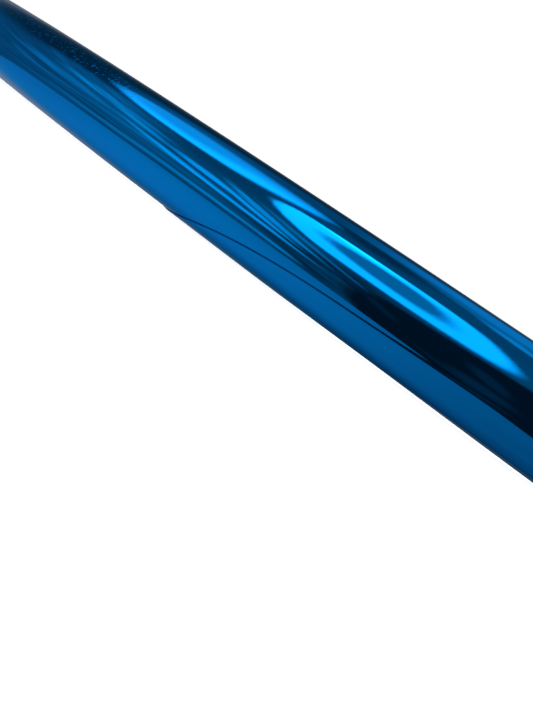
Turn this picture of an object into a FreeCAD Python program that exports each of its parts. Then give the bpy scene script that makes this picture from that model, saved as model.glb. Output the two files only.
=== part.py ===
import FreeCAD, Part
import math
import os

# Collapsible rhythmic hoop, in millimetres.  It lies flat: +Z is the hoop's own axis, the origin is
# the centre of the circle on which it rests, and the tube's joint is on the +Y side.
# The hoop is one extruded tube bent into a ring and wrapped in thin metallic film.  At the joint a
# shorter inner sleeve bridges the two ends.  Two blind rivets hold it in one end, and a spring
# button locks it in the other, so that the hoop can be pulled open and coiled down.

from FreeCAD import Vector

# Driving dimensions
INNER_DIAMETER = 850.0      # clear opening inside the finished hoop
TUBE_OD = 18.6              # bare extruded tube
TUBE_WALL = 2.3
FILM = 0.2                  # metallic film with its adhesive
JOINT_ANGLE = 90.0          # degrees round the ring, 90 is +Y
JOINT_GAP = 0.3             # fine line left where the two tube ends meet

FILM_PANELS = 9             # lengths of film round the ring, each about 305 long
FILM_BUTT = 0.2             # gap between neighbouring pieces of film
BAND_LENGTH = 12.0          # finishing tape at each side of the joint

SLEEVE_OD = 13.8            # slides into the 14.0 bore of the tube
SLEEVE_WALL = 1.6
SLEEVE_LENGTH = 120.0

RIVET_OFFSETS = (22.0, 46.0)    # from the joint, along the tube, on the riveted side
RIVET_SHANK = 3.2
RIVET_HEAD = 6.4
RIVET_HEAD_HEIGHT = 0.9
RIVET_BULGE = 4.8               # the blind side, spread inside the sleeve
RIVET_BULGE_HEIGHT = 1.5
MANDREL = 1.7
MANDREL_HEAD = 2.8
MANDREL_HEAD_HEIGHT = 1.2
RIVET_DRILL = 3.3
MANDREL_RECESS = 0.35           # the stub breaks off below the top of the head

BUTTON_OFFSET = 25.0            # from the joint, along the tube, on the locking side
BUTTON = 6.0
BUTTON_DRILL = 6.2              # running clearance of 0.1 all round
BUTTON_PROUD = 2.0              # above the film
BUTTON_EDGE = 0.7               # rounding of its top edge
BUTTON_TAIL = 2.6               # stem swaged through the spring strip
BUTTON_SWAGE = 4.2
BUTTON_SWAGE_HEIGHT = 0.5
FILM_DRILL = 7.0

STRIP = 0.5                     # thickness of the spring strip
STRIP_WIDTH = 6.0
STRIP_TOP = 3.8                 # top of the upper leg, above the tube's centre line
STRIP_FOOT = -4.0               # underside of the lower leg
STRIP_REACH = 24.0              # from the button to the centre of the bend
STRIP_BEND = 1.7                # outer radius of the bend
STRIP_FLAT = 5.0                # half the flat under the button
STRIP_TAIL_DRILL = 2.8

# Worked out
SKIN_R = TUBE_OD / 2 + FILM                 # outside of the film
TUBE_R = TUBE_OD / 2
BORE_R = TUBE_R - TUBE_WALL
SLEEVE_R = SLEEVE_OD / 2
SLEEVE_BORE_R = SLEEVE_R - SLEEVE_WALL
RING_R = INNER_DIAMETER / 2 + SKIN_R        # centre line of the tube
MID_Z = SKIN_R                              # height of that centre line above the floor
UP = Vector(0, 0, 1)


def degrees(length):
    """Angle round the ring that a length along the centre line covers."""
    return math.degrees(length / RING_R)


def tube_arc(outer_r, inner_r, start, end):
    """Stretch of ring-shaped tube between two angles round the ring, in degrees."""
    centre = Vector(RING_R, 0, MID_Z)
    along = Vector(0, 1, 0)
    outer = Part.Wire(Part.makeCircle(outer_r, centre, along))
    face = Part.Face(outer)
    if inner_r > 0:
        face = face.cut(Part.Face(Part.Wire(Part.makeCircle(inner_r, centre, along)))).Faces[0]
    face.rotate(Vector(0, 0, 0), UP, start)
    return face.revolve(Vector(0, 0, 0), UP, end - start)


def place(shape, offset):
    """Move a shape to its place round the ring; offset is its distance from the joint along the tube.

    A shape is drawn about the origin, which goes to the tube's centre line, with +X along the tube
    towards larger angles and +Z up.
    """
    placed = shape.copy()
    placed.rotate(Vector(0, 0, 0), UP, 90.0)
    placed.translate(Vector(RING_R, 0, MID_Z))
    placed.rotate(Vector(0, 0, 0), UP, JOINT_ANGLE + degrees(offset))
    return placed


def drill(diameter, offset, low=0.0):
    """Upright hole tool through the upper wall of the tube."""
    height = SKIN_R + BUTTON_PROUD + 1.0 - low
    return place(Part.makeCylinder(diameter / 2, height, Vector(0, 0, low), UP), offset)


def turned(points, rounded=None):
    """Solid of revolution about the local Z axis from (radius, height) corners.

    rounded is (corner number, radius) for an arc that replaces one outer corner.
    """
    corners = [Vector(r, 0, z) for r, z in points]
    edges = []
    start = corners[0]
    for number in range(1, len(corners) + 1):
        corner = corners[number % len(corners)]
        if rounded and number == rounded[0]:
            radius = rounded[1]
            before = corner + Vector(0, 0, -radius)
            middle = corner + Vector(-radius * (1 - math.sqrt(0.5)), 0, -radius * (1 - math.sqrt(0.5)))
            after = corner + Vector(-radius, 0, 0)
            edges.append(Part.makeLine(start, before))
            edges.append(Part.Arc(before, middle, after).toShape())
            start = after
        else:
            edges.append(Part.makeLine(start, corner))
            start = corner
    return Part.Face(Part.Wire(edges)).revolve(Vector(0, 0, 0), UP, 360)


def hoop_tube():
    """The ring itself, open at the joint and drilled for the rivets and the button."""
    half = degrees(JOINT_GAP / 2)
    tube = tube_arc(TUBE_R, BORE_R, JOINT_ANGLE + half, JOINT_ANGLE + 360 - half)
    for offset in RIVET_OFFSETS:
        tube = tube.cut(drill(RIVET_DRILL, offset))
    return tube.cut(drill(BUTTON_DRILL, -BUTTON_OFFSET))


def connector_insert():
    """Inner sleeve across the joint."""
    half = degrees(SLEEVE_LENGTH / 2)
    sleeve = tube_arc(SLEEVE_R, SLEEVE_BORE_R, JOINT_ANGLE - half, JOINT_ANGLE + half)
    for offset in RIVET_OFFSETS:
        sleeve = sleeve.cut(drill(RIVET_DRILL, offset))
    return sleeve.cut(drill(BUTTON_DRILL, -BUTTON_OFFSET))


def rivet_body(offset):
    """Blind rivet: domed head on the film, hollow shank, and the spread blind side."""
    top = SKIN_R + RIVET_HEAD_HEIGHT
    saddle = math.sqrt(SKIN_R ** 2 - (RIVET_HEAD / 2) ** 2) - 0.1
    dome_r = ((RIVET_HEAD / 2) ** 2 + RIVET_HEAD_HEIGHT ** 2) / (2 * RIVET_HEAD_HEIGHT)
    dome = Part.makeSphere(dome_r, Vector(0, 0, top - dome_r))
    blank = Part.makeCylinder(RIVET_HEAD / 2, top - saddle, Vector(0, 0, saddle), UP)
    head = place(blank.common(dome), offset)
    skin = tube_arc(SKIN_R, 0, *arc_about(offset, RIVET_HEAD))
    head = head.cut(skin)

    blind_z = SLEEVE_BORE_R - RIVET_BULGE_HEIGHT
    shank = place(Part.makeCylinder(RIVET_SHANK / 2, SKIN_R + 0.3 - blind_z, Vector(0, 0, blind_z), UP),
                  offset)
    bulge = turned([(0, blind_z - 0.4), (RIVET_SHANK / 2, blind_z - 0.4), (RIVET_BULGE / 2, blind_z + 0.3),
                    (RIVET_BULGE / 2, SLEEVE_BORE_R), (0, SLEEVE_BORE_R)])
    bore = tube_arc(SLEEVE_BORE_R, 0, *arc_about(offset, RIVET_BULGE))
    bulge = place(bulge, offset).common(bore)
    body = head.fuse(shank).fuse(bulge).removeSplitter()
    return body.cut(drill(MANDREL, offset, blind_z - 1.0))


def rivet_mandrel(offset):
    """Mandrel stub that stays in the rivet, with its head under the blind side."""
    blind_z = SLEEVE_BORE_R - RIVET_BULGE_HEIGHT - 0.4
    stub_top = SKIN_R + RIVET_HEAD_HEIGHT - MANDREL_RECESS
    stub = turned([(0, blind_z - MANDREL_HEAD_HEIGHT), (MANDREL_HEAD * 0.3, blind_z - MANDREL_HEAD_HEIGHT),
                   (MANDREL_HEAD / 2, blind_z - MANDREL_HEAD_HEIGHT / 2), (MANDREL_HEAD / 2, blind_z),
                   (MANDREL / 2, blind_z), (MANDREL / 2, stub_top), (0, stub_top)])
    return place(stub, offset)


def snap_button():
    """Steel push button: rounded top, plain stem, and a tail swaged under the spring strip."""
    top = SKIN_R + BUTTON_PROUD
    under = STRIP_TOP - STRIP
    outline = [(0, under - BUTTON_SWAGE_HEIGHT), (BUTTON_SWAGE / 2, under - BUTTON_SWAGE_HEIGHT),
               (BUTTON_SWAGE / 2, under), (BUTTON_TAIL / 2, under), (BUTTON_TAIL / 2, STRIP_TOP),
               (BUTTON / 2, STRIP_TOP), (BUTTON / 2, top), (0, top)]
    return place(turned(outline, rounded=(6, BUTTON_EDGE)), -BUTTON_OFFSET)


def snap_spring():
    """V-shaped strip spring: an upper leg under the button, a bend, and a lower leg with a foot."""
    mid = STRIP / 2
    lines = [Vector(STRIP_FLAT, 0, STRIP_TOP - mid), Vector(-STRIP_FLAT, 0, STRIP_TOP - mid)]
    bend_r = STRIP_BEND - mid
    bend_x = -STRIP_REACH
    upper = Vector(bend_x, 0, bend_r)
    lower = Vector(bend_x, 0, -bend_r)
    foot = Vector(-STRIP_FLAT, 0, STRIP_FOOT + mid)
    toe = Vector(STRIP_FLAT, 0, STRIP_FOOT + mid)
    lip = Vector(STRIP_FLAT + 2.0, 0, STRIP_FOOT + mid + 0.8)
    edges = [Part.makeLine(lines[0], lines[1]), Part.makeLine(lines[1], upper),
             Part.Arc(upper, Vector(bend_x - bend_r, 0, 0), lower).toShape(),
             Part.makeLine(lower, foot), Part.makeLine(foot, toe), Part.makeLine(toe, lip)]
    centre_line = Part.Wire(edges)
    outline = centre_line.makeOffset2D(mid, 2, False, False, True)
    strip = Part.Face(Part.Wire(outline.Edges)).extrude(Vector(0, STRIP_WIDTH, 0))
    strip.translate(Vector(0, -STRIP_WIDTH / 2, 0))
    hole = Part.makeCylinder(STRIP_TAIL_DRILL / 2, 3 * STRIP, Vector(0, 0, STRIP_TOP - 2 * STRIP), UP)
    return place(strip.cut(hole), -BUTTON_OFFSET)


def arc_about(offset, width):
    """Start and end angle of a short stretch centred on a place along the tube."""
    centre = JOINT_ANGLE + degrees(offset)
    return centre - degrees(width), centre + degrees(width)


def film_panel(number):
    """One length of film.  The first and the last stop at the finishing bands."""
    pitch = 360.0 / FILM_PANELS
    start = JOINT_ANGLE + number * pitch + degrees(FILM_BUTT / 2)
    end = JOINT_ANGLE + (number + 1) * pitch - degrees(FILM_BUTT / 2)
    if number == 0:
        start = JOINT_ANGLE + degrees(BAND_LENGTH + FILM_BUTT)
    if number == FILM_PANELS - 1:
        end = JOINT_ANGLE + 360 - degrees(BAND_LENGTH + FILM_BUTT)
    film = tube_arc(SKIN_R, TUBE_R, start, end)
    if number == 0:
        for offset in RIVET_OFFSETS:
            film = film.cut(drill(RIVET_DRILL, offset))
    if number == FILM_PANELS - 1:
        film = film.cut(drill(FILM_DRILL, -BUTTON_OFFSET))
    return film


def joint_band(side):
    """Finishing tape at one side of the joint; side is +1 or -1 along the tube."""
    near = degrees(JOINT_GAP / 2)
    far = degrees(BAND_LENGTH)
    if side > 0:
        return tube_arc(SKIN_R, TUBE_R, JOINT_ANGLE + near, JOINT_ANGLE + far)
    return tube_arc(SKIN_R, TUBE_R, JOINT_ANGLE - far, JOINT_ANGLE - near)


def build():
    """Every sub-part by its node name."""
    nodes = {"hoop_tube": hoop_tube(), "connector_insert": connector_insert()}
    for number, offset in enumerate(RIVET_OFFSETS, 1):
        nodes[f"rivet_body_{number}"] = rivet_body(offset)
        nodes[f"rivet_mandrel_{number}"] = rivet_mandrel(offset)
    nodes["snap_button"] = snap_button()
    nodes["snap_spring"] = snap_spring()
    for number in range(FILM_PANELS):
        nodes[f"film_panel_{number + 1}"] = film_panel(number)
    nodes["joint_band_1"] = joint_band(1)
    nodes["joint_band_2"] = joint_band(-1)
    return nodes


os.makedirs("parts", exist_ok=True)
for name, shape in build().items():
    shape.exportStep(f"parts/{name}.step")
    print(f"{name}: solids {len(shape.Solids)}, valid {shape.isValid()}, {shape.Volume:.1f} mm3")
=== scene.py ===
# Rhythmic hoop: mirror-blue film over a plastic tube ring, with its sleeve joint, rivets and button.
# Lengths are in metres and angles in degrees unless a name says otherwise.

import math

import bmesh
import bpy
from mathutils import Matrix, Vector, noise


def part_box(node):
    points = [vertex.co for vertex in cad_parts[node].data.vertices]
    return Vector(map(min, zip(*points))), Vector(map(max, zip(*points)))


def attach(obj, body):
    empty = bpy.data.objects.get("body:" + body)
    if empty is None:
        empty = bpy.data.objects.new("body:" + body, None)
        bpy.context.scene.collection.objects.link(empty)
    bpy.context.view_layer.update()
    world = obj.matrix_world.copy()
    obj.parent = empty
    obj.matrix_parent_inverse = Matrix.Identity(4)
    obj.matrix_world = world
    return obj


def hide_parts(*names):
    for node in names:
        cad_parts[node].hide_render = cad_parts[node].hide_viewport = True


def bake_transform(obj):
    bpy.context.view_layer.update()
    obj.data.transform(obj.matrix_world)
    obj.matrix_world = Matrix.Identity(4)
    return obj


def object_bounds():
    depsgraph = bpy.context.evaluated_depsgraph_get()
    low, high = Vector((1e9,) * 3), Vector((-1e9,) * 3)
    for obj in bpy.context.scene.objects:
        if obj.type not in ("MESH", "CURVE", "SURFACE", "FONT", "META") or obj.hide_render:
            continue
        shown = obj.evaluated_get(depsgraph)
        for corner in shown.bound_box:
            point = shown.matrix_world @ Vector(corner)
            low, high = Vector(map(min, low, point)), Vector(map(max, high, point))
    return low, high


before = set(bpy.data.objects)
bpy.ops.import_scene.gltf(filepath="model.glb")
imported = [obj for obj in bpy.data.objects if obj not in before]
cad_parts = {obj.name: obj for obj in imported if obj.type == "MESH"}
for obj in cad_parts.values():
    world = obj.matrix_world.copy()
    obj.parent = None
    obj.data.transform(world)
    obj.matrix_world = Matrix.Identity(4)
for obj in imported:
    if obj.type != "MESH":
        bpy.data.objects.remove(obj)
CAD_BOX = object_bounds()
MM = 0.001

# The ring, read from the frame
PANELS = sorted(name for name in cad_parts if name.startswith("film_panel_"))
FILM_LOW, FILM_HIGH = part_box("film_panel_3")
SKIN_R = (FILM_HIGH.z - FILM_LOW.z) / 2
MID_Z = (FILM_HIGH.z + FILM_LOW.z) / 2
RING_R = (CAD_BOX[1].x - CAD_BOX[0].x) / 2 - SKIN_R
BUTTON_AT = sum(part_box("snap_button"), Vector()) / 2
RIVETS_AT = [sum(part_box(f"rivet_body_{n}"), Vector()) / 2 for n in (1, 2)]
JOINT = 90.0                    # angle round the ring of the joint
PITCH = 360.0 / len(PANELS)
LAST = len(PANELS) - 1

# Film
FILM_T = 0.18 * MM              # thickness of one layer with its adhesive
LAYER_GAP = 0.01 * MM           # between a layer and the one below
LONG_OVERLAP = 50.0             # degrees of tube that the lengthwise overlap covers
END_OVERLAP = 4.0 * MM
CLIMB = 1.6 * MM                # length over which a layer climbs onto the one below
EDGE_DRAWN = 0.22 * MM          # width of the free edge that the adhesive draws down
EDGE_ROWS = 5
EDGE_THINS = 0.50               # part of the thickness lost there
EDGE_DARKEST_AT = 30.0 * MM           # how far before a length's middle its edge is darkest
SHEET_ROWS = 118                # round the tube, on film and tape
FILM_COLUMNS = 150
FILM_HOLE_R = 3.5 * MM          # round the button

# Tape bands at the joint
BAND_T = 0.13 * MM
BAND_END = 12.0 * MM            # from the joint
BAND_LAP = 2.0 * MM             # of film under a band
BAND_CLIMB = 0.8 * MM
BAND_OVERLAP = 40.0
BAND_SEAM = -128.0              # round the tube, where a band's free edge lies
BAND_STAGGER = 6.0              # to each side of that
BAND_DRIFT = 1.5                # round the tube for each degree round the ring
BAND_COLUMNS = 22
HALF_JOINT = 0.15 * MM          # half the fine line between the two ends

# Tube
TUBE_COLUMNS = 241
TUBE_ROWS = 72
FILM_ROOM = 0.21 * MM           # between the tube and the outside of the film
SLEEVE_CLEARANCE = 0.1 * MM
TUBE_HOLE_R = 3.1 * MM
RIVET_HOLE_R = 1.65 * MM

# Camera: beside the tube, just above its mid-plane, turned along it and rolled
CAMERA_AT = Vector((0.1276, -0.5880, 0.0102))
LOOK_AZIMUTH = 123.9            # from +X towards +Y
LOOK_DOWN = 6.4
ROLL = 35.1
FOCAL_RATIO = 1.40647           # focal length over the picture's long side


def along(length):
    """Degrees round the ring that a length along its centre line covers."""
    return math.degrees(length / RING_R)


def on_tube(ring, around, radius):
    """Point at an angle round the ring, an angle round the tube (0 outward, 90 up) and a radius."""
    a, b = math.radians(ring), math.radians(around)
    reach = RING_R + radius * math.cos(b)
    return Vector((reach * math.cos(a), reach * math.sin(a), MID_Z + radius * math.sin(b)))


def smooth(value, low, high):
    """Smooth step from 0 at low to 1 at high."""
    t = min(max((value - low) / (high - low), 0.0), 1.0)
    return t * t * (3 - 2 * t)


# ---------------------------------------------------------------- meshes

def piece(name, mesh, body, materials, stands_for):
    """Finish a new visible piece: object, body, material slot, materials and the nodes it replaces."""
    obj = bpy.data.objects.new(name, mesh)
    bpy.context.collection.objects.link(obj)
    for material in materials:
        mesh.materials.append(material)
    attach(obj, body)
    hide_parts(*stands_for)


def grid_shell(name, columns, rows, outer, inner, wrapped=False, edge_slot=0, edge_rows=0):
    """Closed shell between two grids of points, outer(i, j) and inner(i, j).

    wrapped joins the last row to the first; otherwise the free long edges get walls.  The walls and
    the last edge_rows of the outside take the material in edge_slot.
    """
    bm = bmesh.new()
    top = [[bm.verts.new(outer(i, j)) for j in range(rows)] for i in range(columns)]
    low = [[bm.verts.new(inner(i, j)) for j in range(rows)] for i in range(columns)]
    steps = rows if wrapped else rows - 1
    for i in range(columns - 1):
        for j in range(steps):
            k = (j + 1) % rows
            face = bm.faces.new((top[i][j], top[i + 1][j], top[i + 1][k], top[i][k]))
            face.material_index = edge_slot if j >= steps - edge_rows else 0
            bm.faces.new((low[i][k], low[i + 1][k], low[i + 1][j], low[i][j]))
        if not wrapped:
            for j, flip in ((0, False), (rows - 1, True)):
                wall = (top[i][j], low[i][j], low[i + 1][j], top[i + 1][j])
                face = bm.faces.new(wall[::-1] if flip else wall)
                face.material_index = edge_slot
    for i, flip in ((0, True), (columns - 1, False)):
        for j in range(steps):
            k = (j + 1) % rows
            wall = (top[i][j], low[i][j], low[i][k], top[i][k])
            face = bm.faces.new(wall[::-1] if flip else wall)
            face.material_index = edge_slot
    return finished_mesh(name, bm)


def finished_mesh(name, bm, sharp=35.0):
    """Mesh from bmesh, smooth apart from edges sharper than an angle, with outward normals."""
    bmesh.ops.recalc_face_normals(bm, faces=bm.faces)
    for face in bm.faces:
        face.smooth = True
    for edge in bm.edges:
        if len(edge.link_faces) == 2:
            edge.smooth = edge.calc_face_angle(0.0) < math.radians(sharp)
    mesh = bpy.data.meshes.new(name)
    bm.to_mesh(mesh)
    bm.free()
    return mesh


def lathe(name, profile, centre, segments=72, sharp=30.0):
    """Closed solid of revolution about the vertical through centre, from (radius, height) points."""
    bm = bmesh.new()
    rings = []
    for radius, height in profile:
        if radius == 0:
            rings.append([bm.verts.new((centre.x, centre.y, height))])
            continue
        turns = [2 * math.pi * n / segments for n in range(segments)]
        circle = [(centre.x + radius * math.cos(t), centre.y + radius * math.sin(t), height) for t in turns]
        rings.append([bm.verts.new(point) for point in circle])
    for below, above in zip(rings, rings[1:]):
        for n in range(segments):
            m = (n + 1) % segments
            corners = (below[n % len(below)], below[m % len(below)],
                       above[m % len(above)], above[n % len(above)])
            unique = list(dict.fromkeys(corners))
            if len(unique) > 2:
                bm.faces.new(unique)
    if len(rings[0]) > 1 and len(rings[-1]) > 1:
        for n in range(segments):
            m = (n + 1) % segments
            bm.faces.new((rings[-1][n], rings[-1][m], rings[0][m], rings[0][n]))
    return finished_mesh(name, bm, sharp)


def arc_points(centre_x, centre_z, radius, start, end, steps):
    """Points of an arc in a profile or a path."""
    angles = [math.radians(start + (end - start) * n / steps) for n in range(steps + 1)]
    return [(centre_x + radius * math.cos(a), centre_z + radius * math.sin(a)) for a in angles]


def drilled(mesh, centre, radius):
    """Cut an upright round hole through the upper wall of a mesh."""
    top = MID_Z + 2 * SKIN_R
    profile = [(0, MID_Z), (radius, MID_Z), (radius, top), (0, top)]
    tool = bpy.data.objects.new("drill", lathe("drill", profile, centre, segments=64))
    blank = bpy.data.objects.new("blank", mesh)
    for obj in (tool, blank):
        bpy.context.collection.objects.link(obj)
    cut = blank.modifiers.new("hole", "BOOLEAN")
    cut.operation = "DIFFERENCE"
    cut.solver = "EXACT"
    cut.object = tool
    graph = bpy.context.evaluated_depsgraph_get()
    result = bpy.data.meshes.new_from_object(blank.evaluated_get(graph))
    result.name = mesh.name + "_drilled"
    for obj in (tool, blank):
        bpy.data.objects.remove(obj)
    return result


# ---------------------------------------------------------------- materials

class Net:
    """Short calls for wiring shader nodes."""

    def __init__(self, tree):
        self.tree = tree
        self.tree.nodes.clear()

    def node(self, kind, **values):
        made = self.tree.nodes.new(kind)
        for key, value in values.items():
            setattr(made, key, value)
        return made

    def feed(self, socket, value):
        """Give an input a number or another node's output."""
        if isinstance(value, bpy.types.NodeSocket):
            self.tree.links.new(value, socket)
        else:
            socket.default_value = value

    def math(self, operation, a, b=0.0, c=0.0):
        made = self.node("ShaderNodeMath", operation=operation)
        for socket, value in zip(made.inputs, (a, b, c)):
            self.feed(socket, value)
        return made.outputs[0]

    def span(self, value, low, high, to_low=0.0, to_high=1.0, kind="SMOOTHSTEP"):
        """Number that goes from to_low to to_high as value goes from low to high."""
        made = self.node("ShaderNodeMapRange", interpolation_type=kind)
        for key, given in (("Value", value), ("From Min", low), ("From Max", high),
                           ("To Min", to_low), ("To Max", to_high)):
            self.feed(made.inputs[key], given)
        return made.outputs[0]

    def blend(self, factor, a, b):
        """Number that goes from a to b as factor goes from 0 to 1."""
        return self.math("MULTIPLY_ADD", self.math("SUBTRACT", b, a), factor, a)

    def noise(self, vector, scale, detail=3.0, rough=0.5):
        made = self.node("ShaderNodeTexNoise")
        for key, value in (("Vector", vector), ("Scale", scale), ("Detail", detail), ("Roughness", rough)):
            self.feed(made.inputs[key], value)
        return made.outputs["Fac"]

    def tint(self, factor, stops):
        """Colour between two stops, each a place on the ramp and a colour."""
        made = self.node("ShaderNodeValToRGB")
        ramp = made.color_ramp
        for stop, (place, colour) in zip((ramp.elements[0], ramp.elements[1]), stops):
            stop.position = place
            stop.color = (*colour, 1.0)
        self.feed(made.inputs["Fac"], factor)
        return made.outputs["Color"]

    def split(self, vector):
        """The three coordinates of a vector."""
        made = self.node("ShaderNodeSeparateXYZ")
        self.feed(made.inputs[0], vector)
        return made.outputs

    def vector(self, operation, a, b=None):
        made = self.node("ShaderNodeVectorMath", operation=operation)
        self.feed(made.inputs[0], a)
        if b is not None:
            self.feed(made.inputs[1], b)
        return made.outputs[0]


def surface(name, metallic, roughness, **fixed):
    """A Principled material: returns (material, net, shader, object coordinates)."""
    material = bpy.data.materials.new(name)
    material.use_nodes = True
    net = Net(material.node_tree)
    shader = net.node("ShaderNodeBsdfPrincipled")
    output = net.node("ShaderNodeOutputMaterial")
    net.feed(output.inputs["Surface"], shader.outputs[0])
    shader.inputs["Metallic"].default_value = metallic
    shader.inputs["Roughness"].default_value = roughness
    for key, value in fixed.items():
        shader.inputs[key].default_value = value
    place = net.node("ShaderNodeTexCoord").outputs["Object"]
    return material, net, shader, place


def bump(net, shader, height, distance):
    made = net.node("ShaderNodeBump")
    made.inputs["Distance"].default_value = distance
    net.feed(made.inputs["Height"], height)
    net.feed(shader.inputs["Normal"], made.outputs["Normal"])


def orange_peel(net, place, scale, amount):
    """Surface normal that leans a little to and fro over cells of about 1/scale."""
    made = net.node("ShaderNodeTexNoise")
    for key, value in (("Vector", place), ("Scale", scale), ("Detail", 1.0)):
        net.feed(made.inputs[key], value)
    lean = net.node("ShaderNodeVectorMath", operation="SCALE")
    net.feed(lean.inputs[0], net.vector("SUBTRACT", made.outputs["Color"], (0.5, 0.5, 0.5)))
    net.feed(lean.inputs["Scale"], amount)
    normal = net.node("ShaderNodeNewGeometry").outputs["Normal"]
    return net.vector("NORMALIZE", net.vector("ADD", normal, lean.outputs[0]))


def ring_wave(net, x, y, count, peak):
    """Wave round the hoop with count crests, one of them at the ring angle peak."""
    ring = net.math("ARCTAN2", y, x)
    return net.math("COSINE", net.math("MULTIPLY_ADD", ring, count, -math.radians(count * peak)))


FILM_FACE = {"Specular Tint": (0.36, 0.57, 0.78, 1.0), "Coat Weight": 0.025, "Coat IOR": 1.25,
             "Coat Roughness": 0.04}
FILM_PALE = (0.0, 0.131, 0.390)
FILM_DEEP = (0.0, 0.119, 0.354)
# colour of the film's edge strip where it is darkest
DARK_EDGE_COLOUR = (0.0, 0.060, 0.188)
SPECKED_STRETCHES = 7           # of the ring, evenly spaced
SPECKED_AT = 255.0              # angle round the ring of the middle of one of them
SPECK_ROUGHNESS = 0.23


def film_material():
    """Mirror film dyed deep blue under a clear face.

    It has a faint orange peel all over, and fine specks on top in some stretches of the ring.
    """
    material, net, shader, place = surface("mirror_film", 1.0, 0.05, **FILM_FACE)
    colour = net.tint(net.noise(place, 9.0, 2.0), [(0.30, FILM_DEEP), (0.70, FILM_PALE)])
    net.feed(shader.inputs["Base Color"], colour)
    x, y, z = net.split(place)
    on_top = net.span(z, MID_Z + 0.35 * SKIN_R, MID_Z + 0.6 * SKIN_R)
    stretch = net.span(ring_wave(net, x, y, SPECKED_STRETCHES, SPECKED_AT), -0.1, 0.7)
    specks = net.span(net.noise(place, 1150.0, 1.0), 0.56, 0.66)
    specks = net.math("MULTIPLY", specks, net.math("MULTIPLY", stretch, on_top))
    haze = net.span(net.noise(place, 55.0, 4.0, 0.6), 0.42, 0.75, 0.030, 0.060)
    net.feed(shader.inputs["Roughness"], net.math("MULTIPLY_ADD", specks, SPECK_ROUGHNESS, haze))
    net.feed(shader.inputs["Normal"], orange_peel(net, place, 1000.0, 0.006))
    return material


def film_edge_material():
    """The film's cut edge and the strip beside it.

    They are darker and duller, most in one stretch of each length of film.
    """
    material, net, shader, place = surface("film_edge", 1.0, 0.3, **FILM_FACE)
    x, y = net.split(place)[:2]
    middle = JOINT + PITCH / 2
    # darker, duller edge: strongest in one stretch of each length of film
    edge_darkening = net.span(ring_wave(net, x, y, len(PANELS), middle - along(EDGE_DARKEST_AT)), 0.0, 0.6)
    net.feed(shader.inputs["Base Color"], net.tint(edge_darkening, [(0.0, FILM_DEEP), (1.0, DARK_EDGE_COLOUR)]))
    dull = net.span(net.noise(place, 700.0), 0.3, 0.7, 0.26, 0.34)
    net.feed(shader.inputs["Roughness"], net.blend(edge_darkening, 0.05, dull))
    return material


def tape_material():
    """Glossy vinyl tape in very dark blue, with the slight stretch lines of hand winding."""
    material, net, shader, place = surface("band_tape", 0.0, 0.25)
    deep, pale = (0.004, 0.010, 0.040), (0.007, 0.018, 0.062)
    net.feed(shader.inputs["Base Color"], net.tint(net.noise(place, 120.0), [(0.3, deep), (0.7, pale)]))
    net.feed(shader.inputs["Roughness"], net.span(net.noise(place, 260.0, 3.0), 0.3, 0.8, 0.20, 0.38))
    bump(net, shader, net.noise(place, 420.0, 2.0), 0.02 * MM)
    return material


def plastic_material(name, dark, light, roughness):
    """Extruded polyethylene: waxy, with faint draw lines."""
    material, net, shader, place = surface(name, 0.0, roughness)
    net.feed(shader.inputs["Base Color"], net.tint(net.noise(place, 80.0), [(0.3, dark), (0.7, light)]))
    uneven = net.span(net.noise(place, 300.0), 0.3, 0.7, roughness - 0.06, roughness + 0.08)
    net.feed(shader.inputs["Roughness"], uneven)
    bump(net, shader, net.noise(place, 1500.0, 2.0), 0.01 * MM)
    return material


TURNING_MARKS = 0.1396 * MM     # from one to the next


def metal_material(name, dark, light, roughness, centre):
    """Plated or turned metal with fine rings about an upright axis."""
    material, net, shader, place = surface(name, 1.0, roughness)
    x, y = net.split(net.vector("SUBTRACT", place, centre))[:2]
    squares = net.math("MULTIPLY_ADD", x, x, net.math("MULTIPLY", y, y))
    rings = net.math("SINE", net.math("MULTIPLY", net.math("SQRT", squares), 2 * math.pi / TURNING_MARKS))
    worn = net.noise(place, 900.0, 3.0)
    net.feed(shader.inputs["Base Color"], net.tint(worn, [(0.3, dark), (0.7, light)]))
    net.feed(shader.inputs["Roughness"], net.span(worn, 0.35, 0.7, roughness * 0.8, roughness * 1.5))
    bump(net, shader, net.math("MULTIPLY_ADD", rings, 0.3, worn), 0.004 * MM)
    return material


FILM = film_material()
FILM_EDGE = film_edge_material()
TAPE = tape_material()
TUBE_PLASTIC = plastic_material("tube_plastic", (0.50, 0.52, 0.53), (0.60, 0.61, 0.62), 0.42)
SLEEVE_PLASTIC = plastic_material("sleeve_plastic", (0.022, 0.022, 0.026), (0.036, 0.036, 0.040), 0.40)
BUTTON_STEEL = metal_material("button_steel", (0.60, 0.61, 0.63), (0.78, 0.79, 0.80), 0.16, BUTTON_AT)
SPRING_STEEL = metal_material("spring_steel", (0.42, 0.42, 0.44), (0.56, 0.56, 0.58), 0.30, BUTTON_AT)
RIVET_METALS = [metal_material(f"rivet_aluminium_{n}", (0.62, 0.63, 0.65), (0.80, 0.81, 0.83), 0.30, centre)
                for n, centre in enumerate(RIVETS_AT, 1)]
MANDREL_STEEL = metal_material("mandrel_steel", (0.28, 0.28, 0.29), (0.44, 0.44, 0.45), 0.42, RIVETS_AT[0])


# ---------------------------------------------------------------- film and tape

FRONT_PANEL = 4                 # the length of film whose middle is on the -Y side
SEAM_LEVEL = -20.0              # round the tube, where the free edge settles on that length
SEAM_SWING = 128.0              # how far round the tube it comes from
SEAM_TURN = -29.0 * MM          # from the length's middle
SEAM_EASE = 20.0 * MM
SEAM_RISE = 7.0                 # how far it then wanders up
SEAM_RISE_SPAN = (68.0 * MM, 105.0 * MM)    # past the turn
LEVEL_STEP = 11.0               # from one length of film to the next
SWING_STEP = 1.1                # radians
TURN_DRIFT = 60.0 * MM
TURN_STEP = 2.3                 # radians


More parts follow.
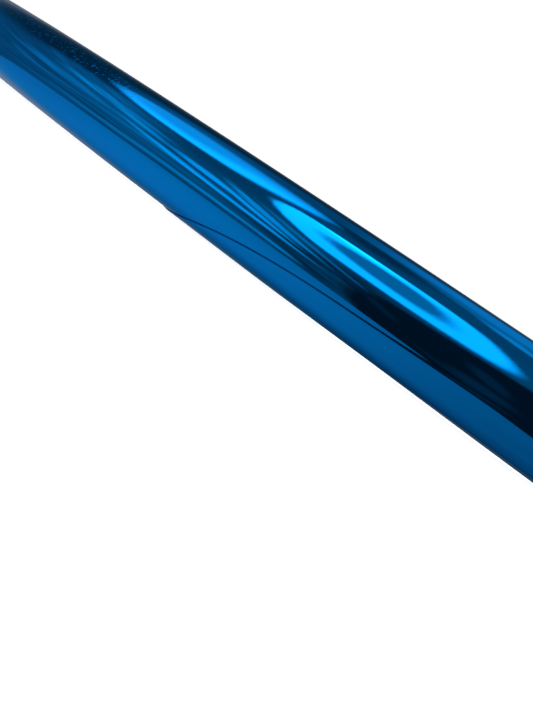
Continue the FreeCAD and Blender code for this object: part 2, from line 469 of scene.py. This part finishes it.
def seam_of(panel):
    """Course of a length's free edge: angle round the tube by angle round the ring.

    Each length of film is wrapped by hand, so each edge drifts round the tube in its own way.
    """
    steps = panel - FRONT_PANEL
    middle = JOINT + (panel + 0.5) * PITCH
    level = SEAM_LEVEL + LEVEL_STEP * steps
    swing = SEAM_SWING * math.cos(SWING_STEP * steps)
    turn = SEAM_TURN + TURN_DRIFT * math.sin(TURN_STEP * steps)
    rise_from, rise_to = (turn + past for past in SEAM_RISE_SPAN)

    def course(ring):
        s = math.radians(ring - middle) * RING_R
        rise = SEAM_RISE * smooth(s, rise_from, rise_to)
        return level + rise - swing / (1 + math.exp(3 * (s - turn) / SEAM_EASE)) ** (1 / 3)
    return course


def ripple(ring, around):
    """Height of the slight unevenness of hand-wrapped sheet: broad waves and finer ones."""
    at = on_tube(ring, around, SKIN_R)
    return noise.noise(at * 70.0) * 0.012 * MM + noise.noise(at * 220.0) * 0.003 * MM


def wrapped_sheet(name, start, end, seam, bed, thickness, columns, overlap):
    """Sheet wound once round the tube between two ring angles, past its own start by overlap degrees.

    seam(ring) is where its outer edge ends and bed(ring, around) is the radius that it lies on.
    The last of the sheet is drawn down by its adhesive, so it thins towards that edge.
    """
    turn = 360.0 + overlap
    drawn = math.degrees(EDGE_DRAWN / SKIN_R)
    wraps = [(turn - drawn) * j / (SHEET_ROWS - 1) for j in range(SHEET_ROWS)]
    wraps += [turn - drawn + drawn * j / EDGE_ROWS for j in range(1, EDGE_ROWS + 1)]
    climb = math.degrees(CLIMB / SKIN_R)

    def point(i, j, depth):
        ring = start + (end - start) * i / (columns - 1)
        wrap = wraps[j]
        around = seam(ring) - (turn - wrap)
        lift = (thickness + LAYER_GAP) * smooth(wrap, 360.0 - climb, 360.0)
        left = 1.0 - EDGE_THINS * smooth(wrap, turn - drawn, turn)
        return on_tube(ring, around, bed(ring, around) + lift + depth * left + ripple(ring, around))

    return grid_shell(name, columns, len(wraps), lambda i, j: point(i, j, thickness),
                      lambda i, j: point(i, j, 0.0), edge_slot=1, edge_rows=EDGE_ROWS)


def in_overlap(seam, ring, around):
    """1 where a panel's two layers lie on each other, easing to 0 at the hidden inner edge."""
    behind = (seam(ring) - around) % 360.0
    climb = math.degrees(CLIMB / SKIN_R)
    return 1.0 - smooth(behind, LONG_OVERLAP, LONG_OVERLAP + climb)


SEAMS = [seam_of(panel) for panel in range(len(PANELS))]
FILM_BED = SKIN_R - FILM_T


def film_top(panel, ring, around):
    """Outside radius of a panel's film, with its own overlap."""
    return SKIN_R + (FILM_T + LAYER_GAP) * in_overlap(SEAMS[panel], ring, around)


def film_bed(panel):
    """What a panel lies on: the tube, and at its start the end of the panel before it."""
    start = JOINT + panel * PITCH

    def bed(ring, around):
        if panel == 0:
            return FILM_BED
        onto = 1.0 - smooth(ring - start, 0.0, along(CLIMB))
        below = film_top(panel - 1, ring, around) + LAYER_GAP
        return FILM_BED + (below - FILM_BED) * onto
    return bed


def make_film():
    """Nine lengths of film, each lapped over the one before it."""
    for panel, node in enumerate(PANELS):
        start = JOINT + panel * PITCH - along(END_OVERLAP)
        end = JOINT + (panel + 1) * PITCH
        if panel == 0:
            start = JOINT + along(BAND_END - BAND_LAP)
        if panel == LAST:
            end = JOINT + 360.0 - along(BAND_END - BAND_LAP)
        mesh = wrapped_sheet(node, start, end, SEAMS[panel], film_bed(panel), FILM_T, FILM_COLUMNS,
                             LONG_OVERLAP)
        if panel == LAST:
            mesh = drilled(mesh, BUTTON_AT, FILM_HOLE_R)
        piece(f"film_{panel + 1}", mesh, "hoop", (FILM, FILM_EDGE), (node,))


def make_band(name, node, side, panel):
    """Finishing tape from the joint over the end of a panel, on one side of the joint, 1 or -1."""
    base = JOINT if side > 0 else JOINT + 360.0
    film_end = BAND_END - BAND_LAP

    def bed(ring, around):
        away = math.radians(abs(ring - base)) * RING_R
        onto = smooth(away, film_end - BAND_CLIMB, film_end)
        return FILM_BED + (film_top(panel, ring, around) + LAYER_GAP - FILM_BED) * onto

    def seam(ring):
        return BAND_SEAM + BAND_STAGGER * side + BAND_DRIFT * (ring - base)

    start, end = sorted((base + side * along(HALF_JOINT), base + side * along(BAND_END)))
    mesh = wrapped_sheet(node, start, end, seam, bed, BAND_T, BAND_COLUMNS, BAND_OVERLAP)
    piece(name, mesh, "hoop", (TAPE, TAPE), (node,))


# ---------------------------------------------------------------- tube and joint

def make_tube():
    """The plastic ring under the film, open at the joint and drilled like the real one."""
    low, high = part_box("connector_insert")
    sleeve_r = (high.z - low.z) / 2
    outer_r = SKIN_R - FILM_ROOM
    inner_r = sleeve_r + SLEEVE_CLEARANCE
    start = JOINT + along(HALF_JOINT)
    sweep = 360.0 - 2 * along(HALF_JOINT)

    def shell(radius):
        return lambda i, j: on_tube(start + sweep * i / (TUBE_COLUMNS - 1), 360.0 * j / TUBE_ROWS, radius)

    mesh = grid_shell("tube", TUBE_COLUMNS, TUBE_ROWS, shell(outer_r), shell(inner_r), wrapped=True)
    mesh = drilled(mesh, BUTTON_AT, TUBE_HOLE_R)
    for centre in RIVETS_AT:
        mesh = drilled(mesh, centre, RIVET_HOLE_R)
    piece("tube", mesh, "hoop", (TUBE_PLASTIC,), ("hoop_tube",))


def in_mm(base, *points):
    """Profile points from (radius, height above base), both given in millimetres."""
    return [(radius * MM, base + height * MM) for radius, height in points]


def rivet_profile(low, high):
    """From the spread blind side up the shank, round the rolled rim and over the domed head."""
    rim_z = MID_Z + SKIN_R - 0.58 * MM
    head_r, rim = 3.2 * MM, 0.22 * MM
    profile = in_mm(low, (0.85, 0.1), (1.5, 0), (2.2, 0.4), (2.4, 1.0), (1.6, 1.85))
    profile += [(1.6 * MM, rim_z), (head_r - 0.12 * MM, rim_z)]
    profile += arc_points(head_r - rim, rim_z + 0.84 * MM, rim, 0, 60, 5)
    top_r, top_z = profile[-1]
    steps = 9
    for k in range(1, steps + 1):
        radius = top_r + (1.15 * MM - top_r) * k / steps
        profile.append((radius, top_z + (high - top_z) * math.sin(math.pi / 2 * k / steps)))
    return profile + in_mm(high, (0.95, -0.06), (0.85, -0.22))


def mandrel_profile(low, high):
    """Head below, plain stem, and a rough broken end on top."""
    head = in_mm(low, (0, 0), (0.9, 0), (1.4, 0.6), (1.35, 1.15), (0.84, 1.2))
    return head + in_mm(high, (0.84, -0.25), (0.70, -0.04), (0.45, -0.10), (0.2, -0.02), (0, -0.05))


def make_rivets():
    """Two blind rivets, each with the broken stub of its mandrel inside."""
    for n, centre in enumerate(RIVETS_AT, 1):
        low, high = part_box(f"rivet_body_{n}")
        mesh = lathe(f"rivet_{n}", rivet_profile(low.z, high.z), centre)
        piece(f"rivet_{n}", mesh, "hoop", (RIVET_METALS[n - 1],), (f"rivet_body_{n}",))

        low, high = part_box(f"rivet_mandrel_{n}")
        mesh = lathe(f"mandrel_{n}", mandrel_profile(low.z, high.z), centre, segments=40)
        piece(f"mandrel_{n}", mesh, "hoop", (MANDREL_STEEL,), (f"rivet_mandrel_{n}",))


def make_button():
    """Push button with a crowned top, rounded edge and the tail swaged under the spring."""
    low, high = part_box("snap_button")
    stem_r = (high.x - low.x) / 2
    strip_top = low.z + 1.0 * MM
    edge, chamfer = 0.7 * MM, 0.15 * MM
    profile = in_mm(low.z, (0, 0), (1.9, 0), (2.1, 0.15), (2.1, 0.45), (1.3, 0.5), (1.3, 1.0))
    profile += [(stem_r - chamfer, strip_top), (stem_r, strip_top + chamfer)]
    profile += arc_points(stem_r - edge, high.z - 0.12 * MM - edge, edge, 0, 82, 9)
    rim_r, rim_z = profile[-1]
    crown_steps = 6
    for k in range(1, crown_steps + 1):
        radius = rim_r * (1 - k / crown_steps)
        profile.append((radius, rim_z + (high.z - rim_z) * (1 - (radius / rim_r) ** 2)))
    mesh = lathe("button", profile, BUTTON_AT, segments=96, sharp=40.0)
    piece("button", mesh, "button", (BUTTON_STEEL,), ("snap_button",))


def make_spring():
    """V-shaped strip under the button, with a hole for the button's tail."""
    low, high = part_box("snap_spring")
    strip, width = 0.5 * MM, 6.0 * MM
    half = strip / 2
    flat, reach = 5.0 * MM, 24.0 * MM       # half the flat under the button; button to bend
    upper_z, lower_z = high.z - half, low.z + half
    path = [(flat - 1.0 * MM * n, upper_z) for n in range(11)]
    path += arc_points(-reach, MID_Z, 1.7 * MM - half, 90, 270, 12)
    path += [(-flat, lower_z), (flat, lower_z), (flat + 2.0 * MM, lower_z + 0.8 * MM)]
    across = -Vector((BUTTON_AT.x, BUTTON_AT.y, 0)).normalized()
    tangent = Vector((across.y, -across.x, 0))
    bm = bmesh.new()
    stations = []
    for n, (x, z) in enumerate(path):
        ahead, behind = path[min(n + 1, len(path) - 1)], path[max(n - 1, 0)]
        run = Vector((ahead[0] - behind[0], ahead[1] - behind[1])).normalized()
        normal = Vector((-run.y, run.x))
        ring = []
        for side, face in ((-1, -1), (1, -1), (1, 1), (-1, 1)):
            at = Vector((x, z)) + normal * half * face
            place = BUTTON_AT + tangent * at.x + across * (side * width / 2)
            ring.append(bm.verts.new((place.x, place.y, at.y)))
        stations.append(ring)
    for before, after in zip(stations, stations[1:]):
        for k in range(4):
            m = (k + 1) % 4
            bm.faces.new((before[k], before[m], after[m], after[k]))
    bm.faces.new(stations[0][::-1])
    bm.faces.new(stations[-1])
    tail_hole_r = 1.4 * MM
    mesh = drilled(finished_mesh("spring", bm), BUTTON_AT, tail_hole_r)
    spring = bpy.data.objects.new("spring", mesh)
    bpy.context.collection.objects.link(spring)
    mesh.materials.append(SPRING_STEEL)
    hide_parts("snap_spring")
    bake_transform(spring)


def dress_cad_nodes():
    """Materials for the CAD nodes that stay as they are."""
    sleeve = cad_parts["connector_insert"]
    sleeve.data.materials.clear()
    sleeve.data.materials.append(SLEEVE_PLASTIC)


# ---------------------------------------------------------------- studio

FLOOR_R = 12.0
MATT_DOME = 1.28                # strength of the even dome that matt surfaces see
GROUND_CAST = (1.0, 0.95, 1.0)  # colour of the ground in the film
LAMPS = (                       # name, place, width and power
    ("key", (-0.9, -1.6, 1.9), 1.6, 9.0),
    ("fill", (1.4, 1.2, 1.6), 1.8, 4.0),
)


def make_camera():
    azimuth, down, roll = (math.radians(a) for a in (LOOK_AZIMUTH, LOOK_DOWN, ROLL))
    look = Vector((math.cos(azimuth) * math.cos(down), math.sin(azimuth) * math.cos(down), -math.sin(down)))
    level = look.cross(Vector((0, 0, 1))).normalized()
    upright = level.cross(look)
    right = level * math.cos(roll) + upright * math.sin(roll)
    up = upright * math.cos(roll) - level * math.sin(roll)
    data = bpy.data.cameras.new("camera")
    data.lens = data.sensor_width * FOCAL_RATIO
    data.clip_start, data.clip_end = 0.005, 50.0
    camera = bpy.data.objects.new("camera", data)
    camera.matrix_world = Matrix((right, up, -look)).transposed().to_4x4()
    camera.location = CAMERA_AT
    bpy.context.collection.objects.link(camera)
    bpy.context.scene.camera = camera


def make_floor():
    """Plain pale floor, lit a little from within so that it stays white under the tube."""
    material, net, shader, place = surface("floor", 0.0, 0.7)
    colour = net.tint(net.noise(place, 3.0), [(0.3, (0.86, 0.86, 0.86)), (0.7, (0.90, 0.90, 0.90))])
    net.feed(shader.inputs["Base Color"], colour)
    shader.inputs["Emission Strength"].default_value = 0.85
    shader.inputs["Emission Color"].default_value = (1.0, 1.0, 1.0, 1.0)
    bm = bmesh.new()
    bmesh.ops.create_circle(bm, cap_ends=True, segments=96, radius=FLOOR_R)
    mesh = bpy.data.meshes.new("floor")
    bm.to_mesh(mesh)
    bm.free()
    mesh.materials.append(material)
    floor = bpy.data.objects.new("floor", mesh)
    floor.location.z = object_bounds()[0].z - 0.02 * MM
    floor.visible_glossy = False
    bpy.context.collection.objects.link(floor)


# What the mirror film sees on each side: azimuth, elevation, half-length, half-height, tilt and softness
# of each soft-edged patch, and its brightness.  Azimuth is 0 towards -Y and the two sides are alike.
WALLS = (
    (-150, -6, 36, 26, 0, 0.35, 0.20),      # unlit room behind
    (-150, 50, 22, 12, 30, 0.5, 1.2),       # pale wall far behind
    (-115, 72.5, 16, 3.3, 14, 0.6, 1.35),
    (-124, 60, 10, 6, 20, 0.8, 1.0),
    (-116, 27, 42, 11, 2, 0.4, 0.11),       # dark gap under the side softbox
    (-103, 61, 22, 5, 4, 0.7, 0.15),
    (-53, 36, 11, 13, 30, 0.7, 0.28),       # dark gap between the softboxes
    (-99, 44, 16, 6.5, 14, 0.8, 0.62),      # glow beside the side softbox
)
CLUTTER = (
    (-55, -1, 37, 22, 0, 0.3, 0.42),        # room under the softboxes
    (-27, -6, 6, 28, -12, 0.6, 0.13),
    (-72, 25, 11, 5, 10, 0.6, 0.66),
    (-64, 18, 9, 3.6, 6, 0.5, 1.3),
    (-56, 13, 5.5, 2.8, -20, 0.5, 1.45),
    (-67, 6.8, 10, 3.6, -12, 0.6, 0.92),
    (-64, 11.8, 13, 0.9, -2, 0.7, 0.5),
    (-75.5, -1.8, 4, 1.4, -40, 0.7, 0.85),
    (-68, -3.8, 7, 1.0, 2, 0.7, 0.85),
    (-53, -1.0, 8, 2.2, -6, 0.7, 1.0),
    (-50, -8.5, 18, 2.6, -6, 0.7, 0.55),
    (-29, -13, 12, 4.5, -8, 0.6, 0.20),
    (-43, -1.2, 14, 2.3, -29, 0.5, 2.3),
    (-45, 10.5, 5.5, 2.6, -28, 0.5, 2.2),
    (-37.5, 6.0, 9, 1.5, -48, 0.6, 2.0),
    (-36, 11.5, 12, 1.8, -50, 0.6, 1.7),
    (-31, 14, 11, 1.3, -46, 0.7, 0.9),
    (-58, -17, 15, 2.0, -10, 0.7, 0.95),
    (-47, -19.0, 11, 2.2, -20, 0.6, 1.15),
    (-36.5, -23.5, 3.6, 2.0, -40, 0.7, 1.1),
    (-24, -8, 4, 1.8, -50, 0.7, 0.26),
    (-28, -19, 4, 1.6, -30, 0.7, 0.30),
)
FLAG_LEVEL = 0.040
FLAG_CREASES = (
    (-6, -1, 2.4, 8, 6, 0.45, 0.10),
    (-7.5, -22, 3.4, 7.5, -22, 0.5, 0.115),
    (-12, -30, 6.0, 1.6, -38, 0.5, 0.085),
    (-19.5, -6, 1.6, 6, 12, 0.6, 0.08),
)
# The softboxes: the same numbers, with a brightness where there is a seventh
SIDE_BOX = (-84.2, 45.2, 23.8, 11.2, -13.5, 0.15)
SIDE_BOX_DIFFUSER = (-88, 43.5, 15, 6.5, -10, 0.5, 2.1)
RING_BOX = (-34.8, 43.0, 27.6, 20.2, -27, 0.10)
RING_BOX_HOLE = (-32.4, 45.2, 15.0, 9.2, -41, 0.28, 0.84)
RING_BOX_LAMP = (-55, 56.0, 5.0, 3.0, 30, 0.8, 8.0)


class Surroundings:
    """Brightness of the surroundings by direction, painted patch over patch."""

    def __init__(self, net):
        self.net = net
        x, y, z = net.split(net.node("ShaderNodeTexCoord").outputs["Generated"])
        side = net.math("MULTIPLY", net.math("ABSOLUTE", x), -1.0)
        around = net.math("ARCTAN2", side, net.math("MULTIPLY", y, -1.0))
        self.azimuth = net.math("MULTIPLY", around, math.degrees(1))
        self.elevation = net.math("MULTIPLY", net.math("ARCSINE", z), math.degrees(1))
        self.level = net.span(self.elevation, 60.0, 74.0, 0.36, 0.33)

    def inside(self, azimuth, elevation, length, height, tilt, soft):
        """1 inside a tilted ellipse, easing to 0 outside it."""
        net = self.net
        c, s = math.cos(math.radians(tilt)), math.sin(math.radians(tilt))
        du = net.math("SUBTRACT", self.azimuth, azimuth)
        dv = net.math("SUBTRACT", self.elevation, elevation)
        u = net.math("MULTIPLY_ADD", du, c / length, net.math("MULTIPLY", dv, s / length))
        v = net.math("MULTIPLY_ADD", du, -s / height, net.math("MULTIPLY", dv, c / height))
        away = net.math("SQRT", net.math("MULTIPLY_ADD", u, u, net.math("MULTIPLY", v, v)))
        return net.span(away, 1.0 + soft, 1.0 - soft)

    def paint(self, mask, level):
        self.level = self.net.blend(mask, self.level, level)

    def across(self, slope, low, high):
        """0 to 1 across a slanting edge, as slope times azimuth plus elevation goes from low to high."""
        return self.net.span(self.net.math("MULTIPLY_ADD", self.azimuth, slope, self.elevation), low, high)


def paint_room(room):
    """Walls behind, and under the softboxes the clutter of a studio, streaked along its length."""
    net = room.net
    for *shape, level in WALLS:
        room.paint(room.inside(*shape), level)
    strip = net.node("ShaderNodeCombineXYZ")
    net.feed(strip.inputs[0], net.math("MULTIPLY", room.azimuth, 0.06))
    slant = net.math("MULTIPLY_ADD", room.azimuth, 0.45, room.elevation)
    net.feed(strip.inputs[1], net.math("MULTIPLY", slant, 0.45))
    grain = net.span(net.noise(strip.outputs[0], 1.0, 3.0), 0.3, 0.7, 0.72, 1.28)
    for *shape, level in CLUTTER:
        room.paint(room.inside(*shape), net.math("MULTIPLY", grain, level))


def paint_softboxes(room):
    """Side softbox with a dimmer diffuser, and ring softbox with its hole and lamp."""
    net = room.net
    side = net.math("MULTIPLY", room.inside(*SIDE_BOX), net.span(room.azimuth, -114.0, -92.0))
    *shape, level = SIDE_BOX_DIFFUSER
    glow = net.blend(room.inside(*shape), net.span(room.azimuth, -102.0, -68.0, 2.1, 4.0), level)
    room.paint(side, glow)
    ring = net.math("MULTIPLY", room.inside(*RING_BOX), room.across(1.0, -11.8, -8.8))
    ring = net.math("MULTIPLY", ring, net.span(room.azimuth, -4.0, -10.0))
    *shape, level = RING_BOX_HOLE
    glow = net.blend(room.inside(*shape), net.span(room.azimuth, -55.0, -25.0, 4.6, 3.6), level)
    room.paint(ring, glow)
    *shape, level = RING_BOX_LAMP
    room.paint(net.math("MULTIPLY", ring, room.inside(*shape)), level)


def paint_flag(room):
    """Black flag in front, under the ring softbox."""
    net = room.net
    edge = net.span(net.math("MULTIPLY_ADD", room.elevation, -0.16, room.azimuth), -24.0, -20.6)
    under = room.across(-1.1, 38.0, 30.0)
    room.paint(net.math("MULTIPLY", edge, under), FLAG_LEVEL)
    for *shape, level in FLAG_CREASES:
        room.paint(room.inside(*shape), level)


def paint_ground(room):
    """Pale ground with painted shade straight down, where the tube shades the floor; dimmer towards the far
    side and in front; returns where it is.
    """
    net = room.net
    nearer = net.math("POWER", net.span(room.azimuth, -85.0, -1.0, kind="LINEAR"), 1.2)
    horizon = net.math("MULTIPLY_ADD", nearer, -24.7, -18.3)
    horizon = net.math("ADD", horizon, net.span(room.azimuth, -145.0, -100.0, 14.0, 0.0))
    ground = net.span(net.math("SUBTRACT", room.elevation, horizon), 0.7, -0.7)
    # painted shade: the ground darkens straight down, standing in for the tube's shadow on the floor under
    # it
    level = net.span(room.elevation, -84.0, -38.0, 0.52, 1.14)
    fade = net.math("MULTIPLY", net.span(room.azimuth, -150.0, -94.0, 0.20, 1.0),
                    net.span(room.azimuth, -75.0, 0.0, 1.0, 0.50))
    depth = net.span(room.elevation, -88.0, -38.0, 0.25, 1.0)
    level = net.math("MULTIPLY", level, net.blend(depth, 1.0, fade))
    level = net.math("MULTIPLY", level, net.span(room.elevation, -36.0, -12.0, 1.0, 0.8))
    room.paint(ground, level)
    return ground


def make_world():
    """White to the camera, an even dome for matt surfaces, and a studio for the mirror film to reflect."""
    world = bpy.data.worlds.new("studio")
    world.use_nodes = True
    bpy.context.scene.world = world
    net = Net(world.node_tree)
    room = Surroundings(net)
    paint_room(room)
    paint_softboxes(room)
    paint_flag(room)
    ground = paint_ground(room)

    rays = net.node("ShaderNodeLightPath").outputs
    strength = net.blend(rays["Is Glossy Ray"], MATT_DOME, room.level)
    strength = net.blend(rays["Is Camera Ray"], strength, 1.0)
    cast = net.math("MULTIPLY", ground, rays["Is Glossy Ray"])
    background = net.node("ShaderNodeBackground")
    net.feed(background.inputs["Color"], net.tint(cast, [(0.0, (1.0, 1.0, 1.0)), (1.0, GROUND_CAST)]))
    net.feed(background.inputs["Strength"], strength)
    output = net.node("ShaderNodeOutputWorld")
    net.feed(output.inputs["Surface"], background.outputs[0])


def make_lights():
    """Large soft key from the front left and a weak fill, for the floor and the small parts."""
    for name, place, width, power in LAMPS:
        data = bpy.data.lights.new(name, "AREA")
        data.shape = "DISK"
        data.size = width
        data.energy = power
        light = bpy.data.objects.new(name, data)
        light.location = place
        light.rotation_euler = (-Vector(place)).to_track_quat("-Z", "Y").to_euler()
        light.visible_glossy = False
        bpy.context.collection.objects.link(light)


def main():
    make_tube()
    make_film()
    make_band("band_left", "joint_band_1", 1, 0)
    make_band("band_right", "joint_band_2", -1, LAST)
    make_rivets()
    make_button()
    make_spring()
    dress_cad_nodes()
    make_camera()
    make_floor()
    make_world()
    make_lights()
    bpy.context.scene.view_settings.view_transform = "Standard"


main()
